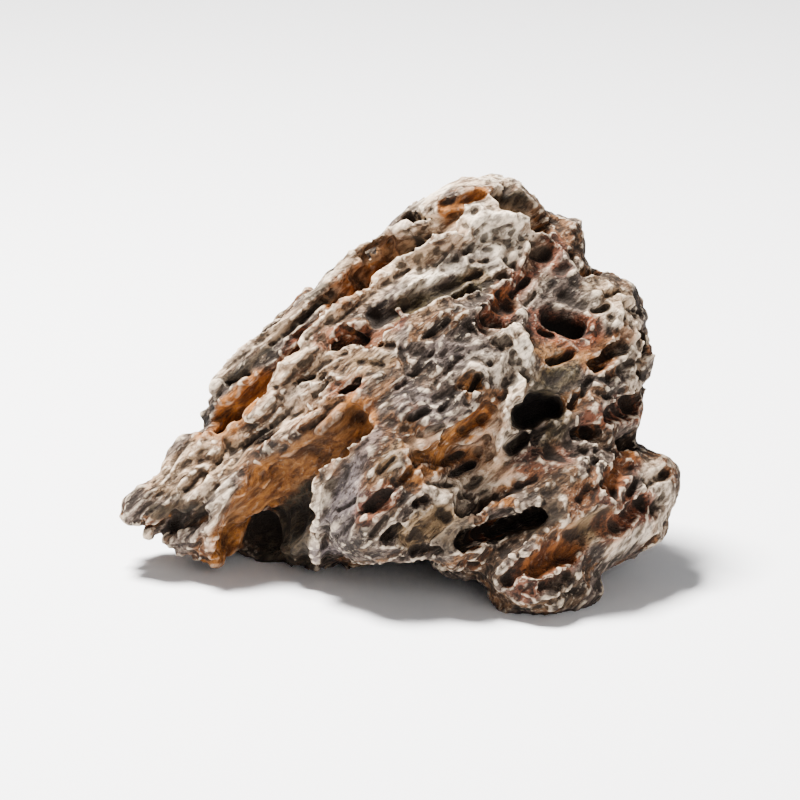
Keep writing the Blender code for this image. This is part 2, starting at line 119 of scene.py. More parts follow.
# Furrows and holes: where each runs as the viewer sees it, its width and its depth, in millimetres.
HOLLOWS = (
    (((47, 94), (49, 76), (47, 60)), 26, 5),  # sunken right end, beyond the rim of the middle face
    (((-52, 58), (-34, 76), (-10, 100), (14, 120)), 8, 7),  # upper furrow, behind the pale strand
    (((-17, 92), (-4, 107)), 12, 9),  # its widest part
    (((-50, 60), (-40, 67)), 10, 6),  # its lower end
    (((-1, 110), (5, 114)), 6, 9),  # dark pit near its upper end
    (((1, 117.5), (10, 120)), 4, 5),  # slit over that
    (((12, 122), (23, 125)), 4, 3),  # slit on the head
    (((31, 124), (41, 116)), 8, 10),  # dark end behind the head
    (((-7, 90), (8, 97), (23, 103)), 8, 5),  # furrow below the strand
    (((4, 91), (20, 99)), 6, 8),  # its deep lower side
    (((-20, 80), (-2, 87)), 6, 4),  # red streak under that
    (((-20, 67), (-13, 70)), 5, 4),  # pock above the trough
    (((-47, 22), (-37, 40), (-14, 56.5)), 13, 9),  # broad ochre trough
    (((-51, 23), (-46, 33)), 8, 5),  # its lower end
    (((-41, 22), (-36, 28), (-28, 35)), 13, 13),  # dark recess under the trough
    (((40.5, 110), (43.5, 109.5)), 5.5, 6),  # red hole under the shoulder
    (((43, 108), (27, 88)), 8, 5),  # red furrow down from it
    (((26, 91), (33, 89)), 5, 7),  # its deep lower end
    (((43, 105), (48, 104)), 5, 4),  # pock in the knob
    (((50, 107), (53, 102), (58, 103)), 4, 5),  # notch between the knob and the shoulder
    (((48, 98), (54, 95)), 5, 6),  # hollow under the knob
    (((45, 90.5), (51.5, 89)), 8.5, 13),  # upper hole of the right end
    (((43, 80), (50, 79)), 7, 3.5),  # hollow under it
    (((45, 72), (50, 77)), 6, 5),  # hollow beside the rim
    (((58, 75), (65, 81)), 4.5, 7),  # steep furrow near the right edge
    (((35.5, 61.5), (45, 64)), 9, 18),  # big hole beside the middle face
    (((39, 54), (44, 57.5)), 3.5, 7),  # dark cleft under it
    (((32, 51), (35, 53)), 5, 8),  # small hole beside that
    (((61, 61), (67, 64)), 6, 4),  # red hollow at the right edge
    (((54, 55), (57, 55.5)), 4.5, 9),  # hole near the right edge
    (((64, 53.5), (67, 52.5)), 6, 9),  # notch in the right edge
    (((70, 74), (71, 68)), 4, 4),  # nick over that
    (((21, 25), (38, 30.5)), 6.5, 13),  # long slot low on the front
    (((19, 33.5), (22, 33.5)), 5.5, 6),  # hole above its left end
    (((40, 17.5), (48, 21.5)), 8, 6),  # red hollow over the foot
    (((50, 24), (60, 30)), 8, 4),  # its smooth upper end
    (((43, 11), (50, 14)), 5, 4),  # dent under it
    (((61, 41), (66, 47)), 6, 4),  # hollow on the right knob
    (((64, 29), (71, 35)), 6, 4),  # hollow under it
    (((72, 41), (77, 44)), 4, 3),  # dents beside them
    (((74, 33), (77, 37)), 4, 3),
    (((15, 54), (25, 61)), 8, 3),  # dish in the middle face
    (((10, 67), (22, 71)), 6, 2.5),  # dent over it
    (((5, 48), (20, 49)), 6, 2.5),  # wrinkle under it
    (((-8.5, 34), (-5, 37)), 6, 3.5),  # pock in the lobe
    (((-3.5, 25), (-0.5, 27.5)), 5, 5),  # pock at the lobe's foot
    (((4, 25), (12, 31)), 7, 3),  # smooth dish beside it
    (((5, 35.5), (7.5, 36)), 3.5, 3),  # pit over the dish
    (((18, 16), (24, 15)), 5, 4),  # dents under the slot
    (((30, 13), (35, 18)), 5, 4),
    (((-77, 29), (-66, 30), (-58, 32)), 8, 5),  # undercut of the left tip
)

# What is too small for the solid, on the side that the viewer sees: raised lines and hollows, written as above.
RIMS = (
    (((-45, 41), (-44.5, 45), (-42, 47.5), (-39, 46), (-38, 42.5), (-40, 40)), 2.2, 1.8),  # ring on the bank
    (((-42, 33), (-36, 35), (-31, 37), (-25, 40)), 2.4, 1.5),  # lower edge of the trough
    (((-55, 25), (-53, 32), (-50, 38), (-46, 42)), 2.5, 1.2),  # its left bank
    (((-60, 34), (-52, 39), (-46, 45), (-38, 52)), 2.5, 1),
    (((-57, 51), (-48, 54), (-40, 58), (-34, 63)), 3, 1.2),  # over the left end
    (((-68, 40), (-62, 47), (-57, 51)), 2.5, 1),
    (((-44, 71), (-37, 75), (-30, 82), (-22, 88)), 2.5, 1.2),
    (((6, 91), (14, 95), (24, 101)), 2.5, 1),
    (((2, 115), (11, 120), (20, 120)), 2.5, 1),
    (((-19, 72), (-12, 70), (-5, 72)), 2.5, 1.2),
    (((-24, 18), (-24, 29), (-23, 40), (-16, 50), (-10, 54)), 2.5, 1.5),  # edge of the lobe
    (((-22, 18), (-14, 25), (-12, 31)), 2.5, 1),
    (((-14, 15), (-5, 19), (0, 21), (8, 17)), 2.5, 1.2),  # its lower edge
    (((1, 25), (4, 30), (9, 34)), 2.5, 1),
    (((-4, 34), (0, 39), (1, 45)), 2, 1),
    (((17, 24), (19, 28), (25, 31), (30, 35)), 2.5, 1.2),
    (((24, 35), (32, 37), (40, 39)), 2.5, 1),
    (((31, 87), (34, 81), (37, 75), (38, 70), (32, 65), (30, 57), (28, 48)), 3, 1.5),  # rim of the middle face
    (((36, 94), (40, 100), (44, 104)), 2.5, 1),
    (((50, 66), (55, 70), (60, 68)), 3, 1.2),
    (((51, 60), (51, 53), (54, 51), (60, 52), (61, 58)), 2.5, 1.2),
    (((55, 40), (60, 44), (62, 49)), 2.5, 1.2),
    (((58, 37), (62, 43), (67, 48)), 2, 1),
    (((70, 41), (72, 34), (70, 27)), 2.5, 1.2),
    (((68, 80), (71, 77), (70, 72), (65, 69)), 3, 1.2),
)
CRACKS = (
    (((-50, 69), (-44, 73), (-37, 79)), 2.4, 2),  # between the crest's sheets
    (((-37, 81), (-29, 88), (-20, 96)), 2.4, 2.5),
    (((-27, 83), (-20, 89)), 2.2, 2),
    (((-36, 69), (-35, 64)), 2.2, 2),
    (((-31, 74), (-25, 78)), 2.2, 1.5),
    (((-28, 70), (-22, 72)), 2.6, 2.5),
    (((-25, 67), (-21, 70)), 2.2, 2),
    (((-31, 60), (-25, 63)), 3, 1.6),  # in the lumps at the trough's top
    (((-28, 57), (-22, 60)), 2.6, 1.5),
    (((-22, 62), (-17, 65)), 2.4, 1.5),
    (((-65, 43), (-61, 47)), 2.4, 1.5),  # in the left end
    (((-62, 39), (-57, 43)), 2.6, 1.8),
    (((-58, 47), (-53, 48)), 2.4, 1.6),
    (((-54, 44), (-49, 50)), 3, 2),
    (((-53, 40), (-56, 36)), 2.4, 1.5),
    (((6, 114), (14, 118), (22, 120)), 2.4, 1.5),
    (((-4, 108), (-2, 112)), 2.5, 2),
    (((-16, 86), (-9, 82), (-3, 81)), 2.5, 2),
    (((-24, 79), (-15, 78)), 2, 1.5),
    (((-12, 76), (-5, 75)), 2, 1.2),
    (((10, 70), (17, 78)), 2, 1.8),  # scratches in the middle face
    (((3, 73), (9, 79)), 1.8, 1.3),
    (((-1, 69), (6, 74)), 1.8, 1.3),
    (((0, 80), (2, 73)), 2, 1.6),
    (((19, 66), (23, 72)), 3, 2.5),
    (((12, 62), (15, 66)), 2.5, 2),
    (((3, 60), (8, 62)), 2.5, 1.8),
    (((22, 77), (26, 76)), 2.5, 2),
    (((20, 86), (24, 84)), 2.5, 2),
    (((33, 76), (33, 79)), 2, 1.5),
    (((8, 84), (14, 88)), 2, 1.5),
    (((24, 98), (29, 96)), 3, 2),
    (((31, 106), (34, 104)), 2.5, 2),
    (((27, 114), (32, 115)), 2, 1.2),
    (((21, 105), (25, 105)), 2, 1.5),
    (((36, 112), (39, 113)), 2.2, 1.5),
    (((33, 96), (37, 100)), 2.5, 2),
    (((5, 49), (12, 52)), 3, 2),  # wrinkles under the middle face
    (((8, 45), (18, 49)), 3, 2.5),
    (((14, 43), (20, 46)), 2.5, 2),
    (((18, 56), (24, 60)), 3.5, 2.5),
    (((6, 55), (12, 57)), 2.5, 1.6),
    (((22, 49), (25, 54)), 2.5, 1.6),
    (((9, 41), (15, 41)), 2.5, 2),
    (((-20, 24), (-14, 30)), 2, 1.2),  # in the lobe
    (((-18, 33), (-13, 36)), 2.2, 1.3),
    (((-22, 22), (-21, 29)), 2.6, 1.5),
    (((-8, 26), (-4, 31)), 2.5, 1.8),
    (((1, 42), (4, 46)), 2.5, 2),
    (((-6, 44), (-2, 48)), 2.2, 1.5),
    (((4, 21), (11, 21)), 3, 3),
    (((34, 40), (39, 42)), 2.5, 1.5),
    (((41, 85), (44, 84)), 3, 3),
    (((44, 76), (49, 78)), 3, 4),
    (((53, 67), (55, 71)), 2.6, 2.5),
    (((50, 63), (51, 66)), 2.6, 3),
    (((61, 72), (67, 76)), 3, 2),
    (((60, 66), (65, 68)), 2.4, 1.8),
    (((70, 80), (70, 84)), 3, 2.5),
    (((60, 84), (61, 89)), 2.2, 1.6),
    (((65, 85), (66, 89)), 2.2, 1.6),
    (((60, 96), (64, 97)), 2.5, 2),
    (((66, 93), (70, 90)), 2.5, 2.5),
    (((56, 91), (60, 92)), 2.5, 2),
    (((36, 92), (39, 96)), 2.2, 1.5),
    (((66, 36), (69, 41)), 3, 2),  # in the right knob
    (((61, 40), (63, 37)), 2.5, 2),
    (((71, 22), (74, 25)), 2.2, 1.6),
    (((55, 45), (57, 49)), 2.5, 2),
    (((52, 36), (55, 40)), 2.5, 1.6),
    (((44, 6), (52, 9)), 2.5, 2),
)

# Where the skin is smoother than elsewhere: a line as the viewer sees it, and the width in millimetres.
CALMS = (
    (((-18, 20), (-17, 44), (-12, 52)), 16),  # left face of the lobe
    (((-25, 18), (-26, 36)), 10),  # its side over the recess
    (((-47, 30), (-37, 40), (-15, 55)), 11),  # trough
    (((-42, 20), (-30, 34)), 18),  # recess under it
    (((5, 27), (11, 31)), 11),  # smooth dish under the lobe
    (((-6, 21), (0, 23)), 7),  # its foot
    (((51, 25), (60, 29)), 12),  # smooth end of the red hollow
    (((36, 46), (46, 46)), 9),  # lump under the big hole
    (((-4, 46), (0, 49)), 7),  # lump over the lobe
    (((46, 72), (54, 76)), 7),  # floor of the hollow beside the rim
    (((16, 42), (30, 44)), 8),  # slab over the slot
)

# Hollows strewn over the sides that the viewer can't see: how many directions from the stone's middle are tried,
# their lengths and widths in millimetres, how squarely a place may face the viewer and still get one, and the seed.
Strewn = namedtuple("Strewn", "directions lengths widths facing seed")

STREWN = (
    Strewn(34, (10, 34), (13, 20), 0.0, 5),  # caves
    Strewn(130, (4, 26), (5, 10), 0.3, 7),  # pits and furrows
)
FINE_STREWN = (
    Strewn(400, (1, 7), (2, 4.5), 0.1, 3),  # pocks
    Strewn(160, (6, 16), (1.8, 2.6), 0.1, 11),  # cracks
)
STREWN_DEPTHS = (0.5, 1.0)  # as shares of the width
STREWN_BEND = 0.25  # as a share of the length
MIDDLE = Vector((5.0, 0.0, 65.0)) * MM
OUTSIDE = 300.0 * MM  # further from the middle than any part of the stone

# Broken faces on the sides that the viewer can't see: how many directions from the stone's middle are tried, and
# how far they reach and how deep below the skin they are, in millimetres.
CHIP_DIRECTIONS = 20
CHIP_REACHES = (10, 17)
CHIP_DEPTHS = (1.5, 4.0)
CHIP_SEED = 9

UNDERSIDE = 7.0 * MM  # height above the ground up to which nothing is strewn, so that the feet stay whole
FINE_DEPTH = 2.0 * MM  # how deep below the open skin pocks and cracks are still strewn

# Uneven swelling, drawn out along the grain: its height in millimetres, or as a share of a hollow's half-width,
# the size of its bumps in millimetres, and how many times longer they are along the grain.
Swell = namedtuple("Swell", "height size stretch seed")

SKIN_SWELLS = (Swell(3.0, 17, 3.0, 3.1), Swell(1.4, 8, 2.5, 11.9))
RIM_SWELLS = (Swell(0.35, 7, 1.5, 31.7), Swell(0.25, 3, 1.5, 5.3))
STRANDS = (Swell(0.8, 5.0, 6.0, 17.3), Swell(0.35, 2.2, 4.0, 2.7), Swell(0.25, 1.2, 1.5, 8.1))

# Thin layers of the clay that end in ledges: their thickness, the height of their ledges, and that height on the
# left, where the clay has split along its layers, all in millimetres, and how much they wander.
Layers = namedtuple("Layers", "thickness ledge split_ledge wander")

LAYERS = (Layers(4.6, 0.6, 2.2, 1.0), Layers(1.9, 0.2, 1.0, 1.3))
LAYER_SWELLS = (Swell(4.1, 15, 4.0, 6.3), Swell(1.3, 5, 5.0, 1.9))
LEDGE_SWELL = Swell(1.0, 24, 1.5, 12.6)  # says where they show
SPLIT = (12 * MM, -22 * MM)  # where across the stone the splitting starts, and where it is full
LEDGE_SLOPE = 5  # how many times steeper a layer's broken edge is than its top
LEDGE_PATCHES = (-0.15, 0.25)  # noise from which ledges start to show, and from which they show in full

# Scoops side by side with sharp rims between them: their size and depth in millimetres, how many times longer they
# are along the grain, and how much their rims bend.
Scoops = namedtuple("Scoops", "size depth stretch bend seed")

SCOOPS = (Scoops(8.0, 1.9, 1.7, 0.5, 4.4), Scoops(3.4, 0.8, 1.6, 0.5, 9.2))
SPLIT_SCOOPS = (Scoops(5.5, 1.3, 4.5, 0.5, 7.7), Scoops(2.6, 0.6, 4.0, 0.5, 1.3))  # where the clay has split
SCOOP_SWELL = Swell(1.0, 22, 1.3, 3.6)  # says where they are deep
SCOOP_PATCHES = (-0.3, 0.2)  # noise from which scoops start to deepen, and from which they are at their deepest
SCOOP_LEAST = 0.35  # share of their depth that they have outside those patches
SCOOP_FILL = 0.45  # share of their depth by which the skin is first built up
SCOOP_SEED = 3  # for the bends of their rims
SCOOP_SPREAD = 97  # puts the middles of neighbouring scoops in noise cells far apart
SCOOP_RIM = 0.35  # how far from its rim a scoop is at its full depth, as a share of its size

SPLINTER = (0.8 * MM, 1.3 * MM)  # how far a place stands out before it is drawn in at all, and in full
SPLINTER_ROUNDS = 8  # of smoothing, which show what it stands out of
SPLINTER_PASSES = 4

RELIEF_DEPTHS = (3.0 * MM, 0.5 * MM)  # below the open skin, where the relief is weakest, and where it is in full
RELIEF_LEAST = 0.2  # share of it that is left in the hollows
CALM_RELIEF = 0.2  # share of it that is left where the skin is smoother
CALM_EDGE = (0.7, 1.3)  # from where to where that fades out, as shares of half the width
FACE_FADE = 0.2  # as a share of a broken face's reach
PATH_STEP = 2.0 * MM
FINE_STEP = 0.8 * MM  # for rims and cracks, which are narrow
NORMAL_REACH = 3  # steps of a path, each way, over which its normals are averaged
WALL_POWER = 2.5  # above 2, a hollow's walls are steeper than an ellipse's
FAR_SIDE = 1.5  # a point this many times deeper than a hollow is on the stone's far side, and is left alone
LIP_HEIGHT = 0.8 * MM
LIP_SHARE = 0.4  # width of a hollow's raised lip, as a share of half the hollow's width
SCRATCH_REACH = 1.5  # a point this many widths off a scratch's skin is left alone

# How many rounds of smoothing tell by how much a place stands out, for edges and for broader forms.
BUMPS = {"edge": 3, "crest": 20}

STAIN_REACH = 15.0 * MM  # how far beyond its width a stain can matter
STAIN_DEPTH = 22.0 * MM  # a point deeper than this under a stain is left alone
STAIN_EDGE = (0.7, 1.25)  # from where to where it fades out, as shares of half the width

# The places of each clay's stains, and of the painted shade: where each runs as the viewer sees it, its width in
# millimetres, and how pure the clay, or how dark the painted shade, is there.
STAINS_AND_SHADE = {
    "cream": (
        (((-38, 62), (-30, 72), (-20, 84), (-8, 96)), 6, 1.0),  # pale strand
        (((-8, 96), (6, 107), (20, 114), (34, 117)), 9, 1.0),
        (((-54, 67), (-45, 75), (-34, 84), (-21, 96)), 5, 0.6),  # crest's blade
        (((-21, 96), (-9, 108), (2, 116)), 5, 0.7),
        (((8, 124), (16, 128), (28, 128)), 8, 0.9),  # head
        (((8, 106), (20, 112), (34, 114)), 18, 1.0),
        (((24, 106), (34, 109)), 10, 0.7),
        (((-8, 108), (2, 116), (8, 121)), 6, 0.9),
        (((-64, 44), (-50, 52)), 12, 0.4),  # left end
        (((-60, 38), (-54, 40)), 8, 0.5),
        (((-54, 26), (-50, 39)), 5, 0.6),
        (((-34, 60), (-26, 66)), 11, 0.8),  # lumps at the trough's top
        (((-24, 20), (-23, 40), (-14, 52)), 4, 0.7),  # edge of the lobe
        (((30, 86), (37, 76), (36, 68), (29, 56), (27, 48)), 7, 0.9),  # rim of the middle face
        (((24, 76), (32, 72)), 8, 0.4),
        (((37, 95), (44, 104)), 4, 0.7),
        (((3, 52), (14, 57)), 4, 0.6),  # wrinkles under the middle face
        (((18, 50), (28, 56)), 4, 0.6),
        (((62, 22), (76, 30)), 7, 0.5),
        (((70, 76), (66, 70)), 7, 0.5),
        (((62, 94), (68, 86), (69, 76)), 13, 0.5),  # outer bulge of the shoulder
        (((74, 44), (79, 34)), 8, 0.5),
        (((12, 38), (21, 41), (28, 45)), 10, 0.75),  # slab over the slot
        (((24, 50), (30, 48)), 6, 0.5),
    ),
    "sand": (
        (((-38, 62), (-30, 72), (-20, 84), (-8, 96), (6, 107), (16, 113)), 10, 0.65),  # pale strand
        (((-32, 61), (-14, 73)), 14, 0.6),  # lumps at the trough's top
        (((-22, 73), (-6, 83)), 12, 0.5),
        (((-66, 43), (-50, 51)), 14, 0.6),  # left end
        (((4, 88), (18, 96)), 6, 0.5),
    ),
    "lilac": (
        (((-20, 22), (-17, 46)), 12, 0.9),  # left face of the lobe
        (((-12, 50), (-8, 54)), 8, 0.6),
        (((2, 66), (10, 62)), 9, 0.35),  # middle face
        (((12, 80), (22, 78)), 8, 0.3),
        (((18, 40), (28, 45)), 8, 0.25),  # slab over the slot
        (((14, 104), (24, 106)), 8, 0.5),
    ),
    "olive": (
        (((2, 93), (22, 102)), 9, 0.9),  # furrow below the strand
        (((-10, 110), (-3, 111)), 4.5, 0.8),
        (((44, 70), (50, 76)), 9, 0.8),
        (((48, 60), (44, 52)), 6, 0.6),
    ),
    "tan": (
        (((3, 26), (12, 31)), 9, 0.9),
        (((-64, 42), (-52, 49)), 13, 0.35),
        (((51, 25), (60, 29)), 10, 0.9),
        (((-5, 45), (0, 50)), 6, 0.5),
        (((58, 98), (64, 95)), 9, 0.5),
        (((40, 82), (52, 80)), 8, 0.6),
        (((-12, 76), (-5, 76)), 6, 0.5),
    ),
    "ochre": (
        (((-50, 59), (-40, 67)), 13, 1.0),  # lower end of the upper furrow
        (((-17, 91), (-4, 107)), 13, 1.0),  # its widest part
        (((-34, 77), (-20, 91)), 5, 0.5),
        (((12, 122), (23, 125)), 5, 0.9),  # slit on the head
        (((-50, 21), (-46, 31), (-37, 40), (-13, 58)), 15, 0.95),  # broad trough
        (((-28, 60), (-16, 62)), 9, 0.45),
        (((6, 48), (22, 52)), 14, 0.6),  # wrinkles under the middle face
        (((18, 56), (25, 60)), 9, 0.6),
        (((44, 80), (54, 82)), 8, 0.4),
        (((57, 76), (66, 84)), 7, 0.6),
        (((64, 44), (67, 49)), 6, 0.7),
        (((41, 18), (49, 22)), 8, 0.9),  # hollow over the foot
    ),
    # Painted shade, not a clay: darkens recesses, cracks, pits and undersides where shade falls.
    "painted_shade": (
        (((-50, 69), (-44, 73), (-37, 79)), 2.8, 0.8),  # between the crest's sheets
        (((-37, 81), (-29, 88), (-20, 96)), 2.8, 0.8),
        (((-27, 83), (-20, 89)), 2.6, 0.7),
        (((-17, 99), (-8, 108)), 2.5, 0.6),
        (((-2, 109), (3, 112)), 5, 0.85),  # pit near the furrow's upper end
        (((-31, 66), (-22, 75), (-10, 87)), 2.5, 0.5),  # under the pale strand
        (((-37, 16), (-31, 30)), 12, 1.0),  # recess under the trough
        (((-28, 16), (-28.5, 36)), 7, 0.9),  # its right side
        (((-37, 48), (-16, 60)), 6, 0.5),  # upper side of the trough
        (((-45, 28), (-37, 38), (-14, 54)), 12, 0.35),  # trough
        (((-40, 33), (-26, 42), (-15, 50)), 4, 0.4),
        (((-20, 24), (-4, 28)), 11, 0.4),  # lobe
        (((37, 36), (46, 42)), 9, 0.4),  # over the slot
        (((32, 4), (50, 8)), 9, 0.4),  # foot
        (((12, 23), (20, 30)), 7, 0.7),  # round the ends of the slot
        (((38, 29), (45, 32)), 6, 0.7),
        (((38, 68), (50, 70)), 8, 0.5),  # over the big hole
        (((0, 89), (18, 98)), 5, 0.6),  # furrow below the strand
        (((-70, 33), (-59, 34)), 5, 0.9),  # undercut of the left tip
        (((33, 124), (39, 117)), 7, 0.9),  # dark end behind the head
    ),
    "red": (
        (((-34, 76), (-28, 84)), 7, 0.8),
        (((-20, 81), (0, 87)), 7, 0.75),
        (((-20, 68), (-12, 69)), 5, 0.8),
        (((44, 111), (34, 100), (28, 89)), 10, 0.75),
        (((42, 89), (54, 87)), 12, 0.85),
        (((45, 105), (48, 104)), 5, 0.6),
        (((58, 60), (69, 63)), 8, 0.7),
        (((37, 14), (50, 23)), 11, 0.6),
        (((61, 38), (67, 48)), 8, 0.6),
        (((62, 28), (72, 34)), 10, 0.8),
        (((36, 46), (47, 50)), 9, 0.5),
        (((-10, 32), (-3, 38)), 7, 0.6),
    ),
}


def apply_modifiers(obj):
    """Bakes the object's modifiers into its mesh."""
    graph = bpy.context.evaluated_depsgraph_get()
    baked = bpy.data.meshes.new_from_object(obj.evaluated_get(graph))
    obj.modifiers.clear()
    old = obj.data
    obj.data = baked
    bpy.data.meshes.remove(old)


def remesh(obj, voxel, smoothing):
    """Fuses the object into one skin of even faces, then evens that skin out."""
    fuse = obj.modifiers.new("fuse", "REMESH")
    fuse.mode = "VOXEL"
    fuse.voxel_size = voxel
    smooth = obj.modifiers.new("smooth", "SMOOTH")
    smooth.factor = 0.5
    smooth.iterations = smoothing
    apply_modifiers(obj)


def add_lump(mesh, lump):
    """Adds one ellipsoid, turned in the view, to the bmesh."""
    middle = Vector((lump.across, lump.away, lump.up)) * MM
    half_sizes = Vector((lump.along, lump.deep, lump.high)) * MM
    turn = Matrix.Rotation(math.radians(-lump.turn), 4, "Y")
    matrix = Matrix.Translation(middle) @ turn @ Matrix.Diagonal(half_sizes).to_4x4()
    bmesh.ops.create_icosphere(mesh, subdivisions=4, radius=1.0, matrix=matrix)


def added(name, data):
    """A new object in the scene."""
    obj = bpy.data.objects.new(name, data)
    bpy.context.scene.collection.objects.link(obj)
    return obj


def added_mesh(name, mesh):
    """A new object in the scene with the bmesh's shape, which ends the bmesh."""
    data = bpy.data.meshes.new(name)
    mesh.to_mesh(data)
    mesh.free()
    return added(name, data)


def fused_lumps():
    mesh = bmesh.new()
    for lump in LUMPS:
        add_lump(mesh, lump)
    stone = added_mesh("dragon_stone", mesh)
    remesh(stone, FUSE_VOXEL, FUSE_SMOOTHING)
    return stone


def rows_of(items, name, width, kind=np.float64):
    """That property of each item, one row an item."""
    values = np.empty(len(items) * width, kind)
    items.foreach_get(name, values)
    return values.reshape(-1, width)


def vertices_of(obj):
    return rows_of(obj.data.vertices, "co", 3)


def normals_of(obj):
    return rows_of(obj.data.vertex_normals, "vector", 3)


def edges_of(obj):
    return rows_of(obj.data.edges, "vertices", 2, np.int32)


def move_vertices(obj, points):
    obj.data.vertices.foreach_set("co", points.astype(np.float32).ravel())
    obj.data.update()


def noise_places(points, kind):
    """Where to take the noise for each point, so that its forms have that kind's size and stretch."""
    axes = np.array([GRAIN / kind.stretch, STACKED, GRAIN.cross(STACKED)])
    return (points @ axes.T / (kind.size * MM) + kind.seed).tolist()


def waves(points, swell):
    """Noise from -1 to 1 at each point, drawn out along the grain."""
    return np.array([noise.noise(place) for place in noise_places(points, swell)])


def swelling(points, swells):
    """The sum of the swells' heights at each point."""
    return sum(swell.height * waves(points, swell) for swell in swells)


def eased(values, low, high):
    """Goes smoothly from 0 to 1 as the value goes from low to high."""
    share = np.clip((values - low) / (high - low), 0, 1)
    return share * share * (3 - 2 * share)


def steps_along(line, step):
    """Places along the line through these points, about a step apart."""
    places = [line[0]]
    for start, end in zip(line, line[1:]):
        count = max(1, round((end - start).length / step))
        places += [start.lerp(end, i / count) for i in range(1, count + 1)]
    return places


def path_on_skin(tree, eye, line, step=PATH_STEP):
    """The points of the skin that the eye sees in the directions of the line, and the skin's normals there."""
    hits = []
    for place in steps_along(line, step):
        hit = tree.ray_cast(eye, (place - eye).normalized())
        if hit[0] is None:
            hit = tree.find_nearest(place)
        hits.append(hit)
    steps = np.arange(len(hits))
    near = np.abs(np.subtract.outer(steps, steps)) <= NORMAL_REACH
    normals = near @ np.array([hit[1] for hit in hits])
    normals /= np.linalg.norm(normals, axis=1)[:, None]
    return np.array([hit[0] for hit in hits]), normals


def seen_path(tree, line, step=PATH_STEP):
    return path_on_skin(tree, VIEWER, [Vector((across, 0, up)) * MM for across, up in line], step)


def seen_paths(tree, forms, step=PATH_STEP):
    """Each form's path on the skin, its width, and its height or depth."""
    for line, width, size in forms:
        yield seen_path(tree, line, step), width * MM, size * MM


def beside(points, path, reach):
    """The indices of the points within reach of the path, each one's distance from it along the skin and above
    the skin, and the path's normal there."""
    spots, normals = path
    low = spots.min(axis=0) - reach
    high = spots.max(axis=0) + reach
    chosen = np.flatnonzero(((points > low) & (points < high)).all(axis=1))
    offsets = points[chosen, None] - spots
    nearest = (offsets**2).sum(axis=2).argmin(axis=1)
    offsets = offsets[np.arange(len(chosen)), nearest]
    outward = normals[nearest]
    above = (offsets * outward).sum(axis=1)
    aside = np.linalg.norm(offsets - above[:, None] * outward, axis=1)
    return chosen, aside, above, outward


def share_of_width(points, aside, width):
    """The distance aside as a share of half the width, which comes and goes a little."""
    return 2 * aside / width * (1 + swelling(points, RIM_SWELLS))


def trench(share):
    """How deep a rounded trench is at that share of half its width, as a share of its depth."""
    return np.sqrt(np.clip(1 - share**WALL_POWER, 0, None))


def raise_ridge(points, path, width, height):
    chosen, aside, above, outward = beside(points, path, width)
    share = np.clip(1 - (2 * aside / width) ** 2, 0, None) ** 2
    rise = np.where(np.abs(above) < width, height * share, 0.0)
    points[chosen] += rise[:, None] * outward


def break_off(points, face):
    """Takes off what stands out of the face's plane, and less of it towards the end of its reach."""
    facing = np.array(Vector(face.facing).normalized())
    offsets = points - np.array((face.across, face.away, face.up)) * MM
    distance = np.linalg.norm(offsets, axis=1) / (face.reach * MM)
    rise = np.clip(offsets @ facing, 0, None) * np.clip((1 - distance) / FACE_FADE, 0, 1)
    points -= rise[:, None] * facing


def carve(points, path, width, depth):
    """Moves the points over a rounded trench down to its floor, and raises a lip round it."""
    chosen, aside, above, outward = beside(points, path, 2 * width)
    share = share_of_width(points[chosen], aside, width)
    floor = -depth * trench(share)
    sinks = (share < 1) & (above > floor) & (above > -FAR_SIDE * depth)
    shift = np.where(sinks, floor - above, 0.0)
    lip = (share >= 1) & (share < 1 + LIP_SHARE) & (np.abs(above) < width)
    shift[lip] = LIP_HEIGHT * np.sin(math.pi * (share[lip] - 1) / LIP_SHARE)
    points[chosen] += shift[:, None] * outward


def scratch(points, path, width, depth):
    """Sinks the points along a path on their own skin, and leaves alone what hangs over it."""
    chosen, aside, above, outward = beside(points, path, 2 * width)
    sunk = trench(share_of_width(points[chosen], aside, width)) * (np.abs(above) < SCRATCH_REACH * width)
    points[chosen] -= depth * sunk[:, None] * outward


def is_seen(tree, place, normal, facing):
    """Whether the viewer sees that place of the skin, and at least as squarely as facing says."""
    to_viewer = (VIEWER - place).normalized()
    return normal.dot(to_viewer) > facing and tree.ray_cast(place + normal * MM, to_viewer)[0] is None


def all_round(tree, count, turned):
    """Places spread evenly round the stone and turned by that angle, each with what it sees: the eye far outside,
    the place of the skin and the normal there."""
    golden = math.pi * (3 - math.sqrt(5))
    for i in range(count):
        lift = 1 - 2 * (i + 0.5) / count
        turn = golden * i + turned
        spread = math.sqrt(1 - lift**2)
        eye = MIDDLE + OUTSIDE * Vector((spread * math.cos(turn), spread * math.sin(turn), lift))
        place, normal, _, _ = tree.ray_cast(eye, (MIDDLE - eye).normalized())
        yield eye, place, normal


def chips(tree):
    """Broken faces for the sides that the viewer can't see."""
    chance = random.Random(CHIP_SEED)
    for _, place, normal in all_round(tree, CHIP_DIRECTIONS, CHIP_SEED):
        reach = chance.uniform(*CHIP_REACHES)
        depth = chance.uniform(*CHIP_DEPTHS) * MM
        if not is_seen(tree, place, normal, 0.0):
            across, away, up = (place - depth * normal) / MM
            yield Face(across, up, away, reach, normal)


def strewn_hollows(tree, kind):
    """Hollows for the sides that the viewer can't see, each a path on the skin with a width and a depth."""
    chance = random.Random(kind.seed)
    for eye, place, normal in all_round(tree, kind.directions, kind.seed):
        length = chance.uniform(*kind.lengths) * MM
        width = chance.uniform(*kind.widths) * MM
        depth = chance.uniform(*STREWN_DEPTHS) * width
        bend = chance.uniform(-STREWN_BEND, STREWN_BEND) * length
        underneath = (STANDING @ place).z < UNDERSIDE
        if underneath or is_seen(tree, place, normal, kind.facing):
            continue
        along = GRAIN - GRAIN.dot(normal) * normal
        half = along * length / 2
        line = [place - half, place + normal.cross(along) * bend, place + half]
        yield path_on_skin(tree, eye, line), width, depth


